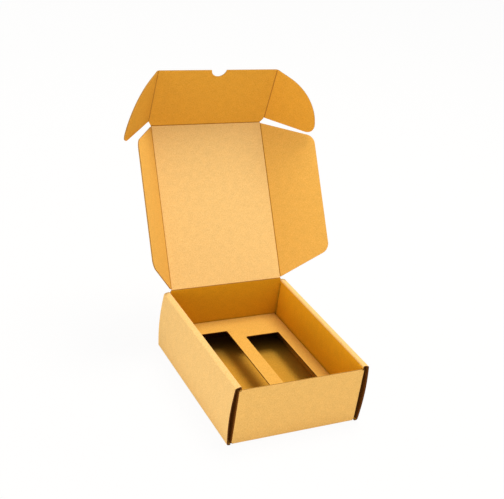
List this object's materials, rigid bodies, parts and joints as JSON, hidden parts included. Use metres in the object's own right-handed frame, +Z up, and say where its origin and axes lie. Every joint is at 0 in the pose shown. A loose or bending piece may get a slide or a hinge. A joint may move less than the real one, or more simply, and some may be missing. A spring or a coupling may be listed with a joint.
{
  "type": "corrugated mailer box",
  "caption": "Open roll-end mailer box of kraft corrugated board with a hinged tuck lid, dust flaps, locking ears and a folded insert with windows.",
  "frame": {"origin": "middle of the tray's underside", "axes": "+Z up, +Y to the rear wall that carries the lid, +X to the right seen from the front"},
  "size_m": [0.2789, 0.3391, 0.3465],
  "materials": {
    "kraft_board": "matte",
    "insert_board": "matte"
  },
  "bodies": {
    "tray": {"tray": "kraft_board", "insert": "insert_board"},
    "lid_panel": {"lid_panel": "kraft_board"},
    "lid_side_flap_left": {"lid_side_flap_left": "kraft_board"},
    "lid_side_flap_right": {"lid_side_flap_right": "kraft_board"},
    "front_flap": {"front_flap": "kraft_board"},
    "ear_left": {"ear_left": "kraft_board"},
    "ear_right": {"ear_right": "kraft_board"}
  },
  "joints": [
    {"name": "lid_hinge", "type": "hinge", "parent": "tray", "child": "lid_panel", "pos_m": [0, 0.1079, 0.0842], "axis": [-1, 0, 0], "range_deg": [-123.5, 56.5]},
    {"name": "side_flap_left_crease", "type": "hinge", "parent": "lid_panel", "child": "lid_side_flap_left", "pos_m": [-0.0807, 0.1079, 0.0842], "axis": [0, 0.5519, 0.8339], "range_deg": [-35.5, 77.4]},
    {"name": "side_flap_right_crease", "type": "hinge", "parent": "lid_panel", "child": "lid_side_flap_right", "pos_m": [0.0807, 0.1079, 0.0842], "axis": [0, -0.5519, -0.8339], "range_deg": [-58.1, 126.8]},
    {"name": "front_crease", "type": "hinge", "parent": "lid_panel", "child": "front_flap", "pos_m": [0, 0.22806, 0.26574], "axis": [-1, 0, 0], "range_deg": [-43.4, 46.6]},
    {"name": "ear_left_crease", "type": "hinge", "parent": "front_flap", "child": "ear_left", "pos_m": [-0.08525, 0.22806, 0.26574], "axis": [0, -0.2267, 0.974], "range_deg": [-42.4, 45.5]},
    {"name": "ear_right_crease", "type": "hinge", "parent": "front_flap", "child": "ear_right", "pos_m": [0.08525, 0.22806, 0.26574], "axis": [0, 0.2267, -0.974], "range_deg": [-41.3, 44.4]}
  ],
  "couplings": [
    {"joint": "side_flap_left_crease", "follows": "lid_hinge", "ratio": -0.626},
    {"joint": "side_flap_right_crease", "follows": "lid_hinge", "ratio": -1.026},
    {"joint": "ear_left_crease", "follows": "front_crease", "ratio": 0.975},
    {"joint": "ear_right_crease", "follows": "front_crease", "ratio": 0.95}
  ]
}
